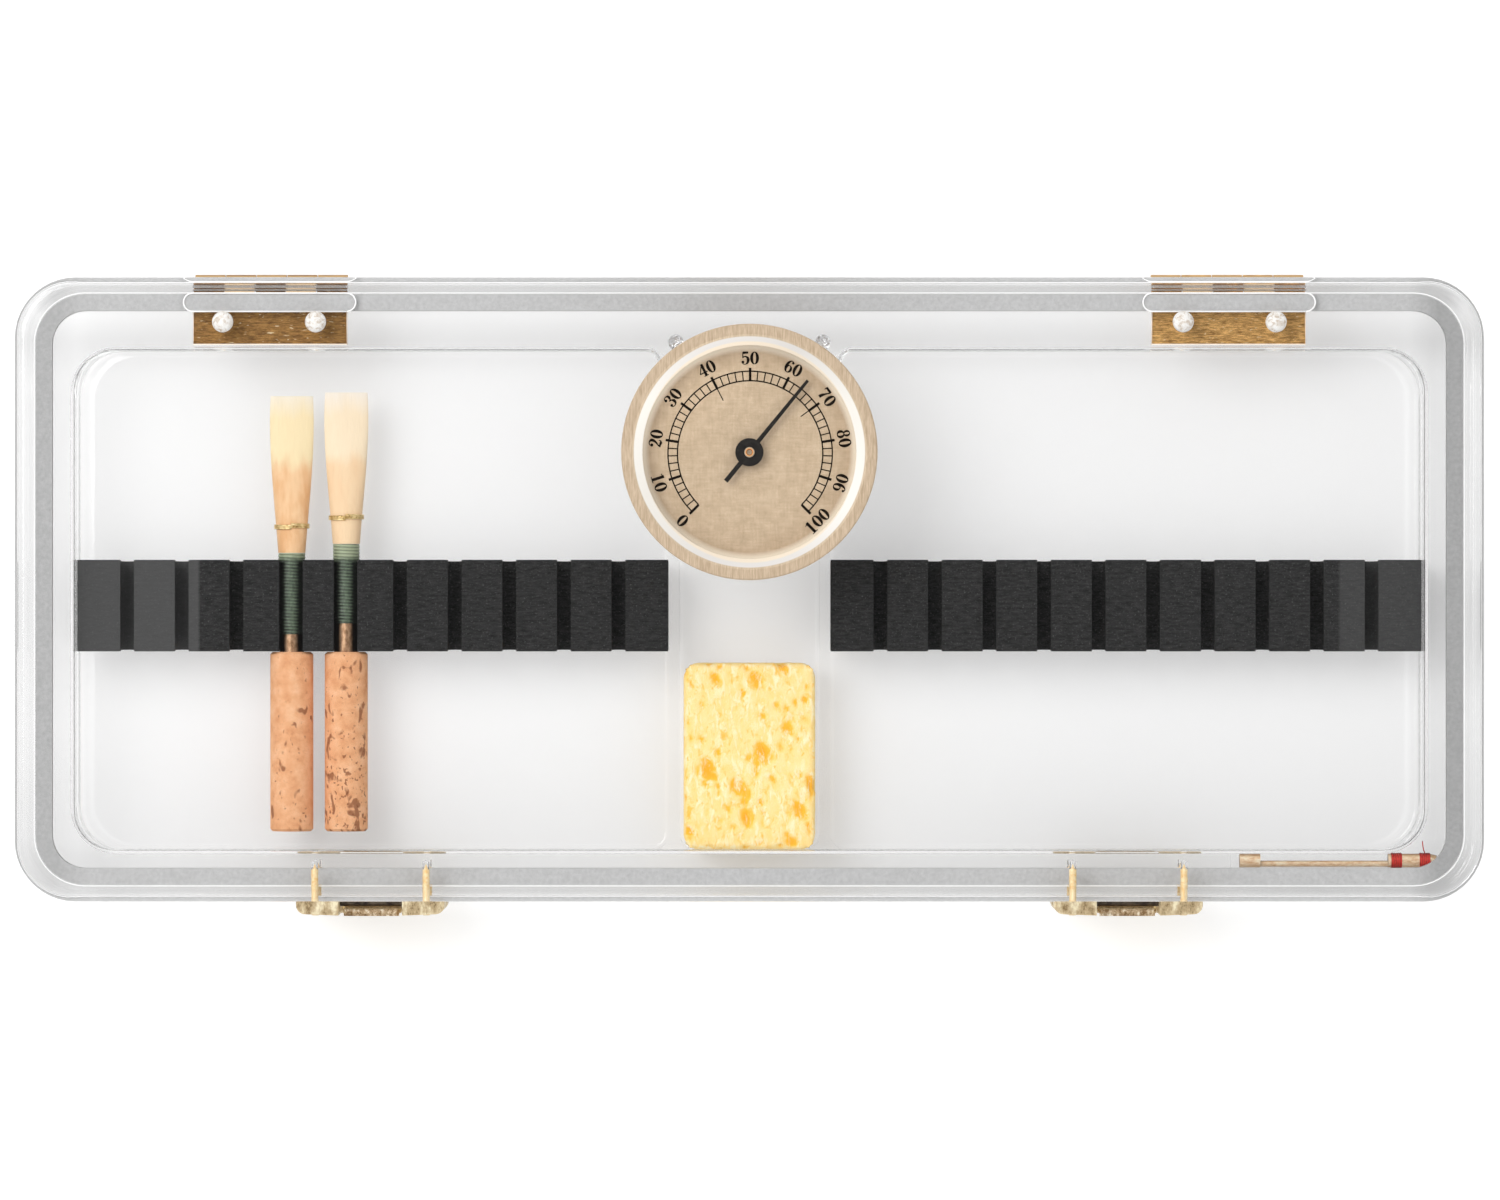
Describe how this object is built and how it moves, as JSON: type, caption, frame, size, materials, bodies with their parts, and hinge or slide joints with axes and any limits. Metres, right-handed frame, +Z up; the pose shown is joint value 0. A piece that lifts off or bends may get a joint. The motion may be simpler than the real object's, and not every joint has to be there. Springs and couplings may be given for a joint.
{
  "type": "oboe reed case",
  "caption": "Clear acrylic reed case with a hinged lid, perimeter seal, brass lever catches, a dial hygrometer in the lid, slotted reed bars, reeds and a sponge.",
  "frame": {"origin": "centre of the case's flat underside", "axes": "+X along the case to the right, +Y to the back, where the hinges are, +Z up"},
  "size_m": [0.24, 0.1054, 0.0262],
  "materials": {
    "clear_acrylic": "polished, clear",
    "brass": "brushed, champagne gold",
    "bar_rubber": "soft black, matt",
    "seal_rubber": "light grey, matt",
    "sponge": "pale yellow open-cell sponge",
    "crystal_glass": "clear, slightly crowned",
    "dial_face": "brushed champagne with printed scale",
    "spring_steel": "plain",
    "pointer_black": "black lacquer",
    "cork": "natural cork",
    "green_thread": "waxed green thread",
    "cane": "scraped cane",
    "red_thread": "waxed red thread"
  },
  "bodies": {
    "base": {"base_tray": "clear_acrylic", "reed_bar_left": "bar_rubber", "reed_bar_right": "bar_rubber", "sponge": "sponge", "hinge_base_leaf_left": "brass", "hinge_base_leaf_right": "brass", "hinge_pin_left": "brass", "hinge_pin_right": "brass", "hinge_screws_base": "brass", "catch_keeper_left": "brass", "catch_keeper_right": "brass", "catch_pin_left": "brass", "catch_pin_right": "brass", "catch_nails_base": "brass", "reed_1_cork": "cork", "reed_1_staple": "brass", "reed_1_thread": "green_thread", "reed_1_cane": "cane", "reed_1_wire": "brass", "reed_2_cork": "cork", "reed_2_staple": "brass", "reed_2_thread": "green_thread", "reed_2_cane": "cane", "reed_2_wire": "brass", "tool_body": "brass", "tool_binding": "red_thread"},
    "lid": {"lid_shell": "clear_acrylic", "lid_seal": "seal_rubber", "hinge_lid_leaf_left": "brass", "hinge_lid_leaf_right": "brass", "hinge_screws_lid": "brass", "catch_strike_left": "brass", "catch_strike_right": "brass", "catch_nails_lid": "brass", "hygrometer_flange": "brass", "hygrometer_crystal": "crystal_glass", "hygrometer_case": "brass", "hygrometer_dial": "dial_face", "hygrometer_bridge": "brass", "hygrometer_coil": "spring_steel", "hygrometer_set_screws": "spring_steel"},
    "pointer": {"hygrometer_pointer": "pointer_black", "hygrometer_arbor": "brass"},
    "catch_left": {"catch_lever_left": "brass"},
    "catch_right": {"catch_lever_right": "brass"}
  },
  "joints": [
    {"name": "lid_hinge", "type": "hinge", "parent": "base", "child": "lid", "pos_m": [0, 0.0504, 0.013], "axis": [-1, 0, 0], "range_deg": [0, 105]},
    {"name": "catch_lever_left", "type": "hinge", "parent": "base", "child": "catch_left", "pos_m": [-0.062, -0.0523, 0.0062], "axis": [1, 0, 0], "range_deg": [-2.5, 110]},
    {"name": "catch_lever_right", "type": "hinge", "parent": "base", "child": "catch_right", "pos_m": [0.062, -0.0523, 0.0062], "axis": [1, 0, 0], "range_deg": [-2.5, 110]},
    {"name": "pointer_spin", "type": "hinge", "parent": "lid", "child": "pointer", "pos_m": [0, 0.0224, 0.0228], "axis": [0, 0, 1], "range_deg": [-95.85, 174.15]}
  ]
}
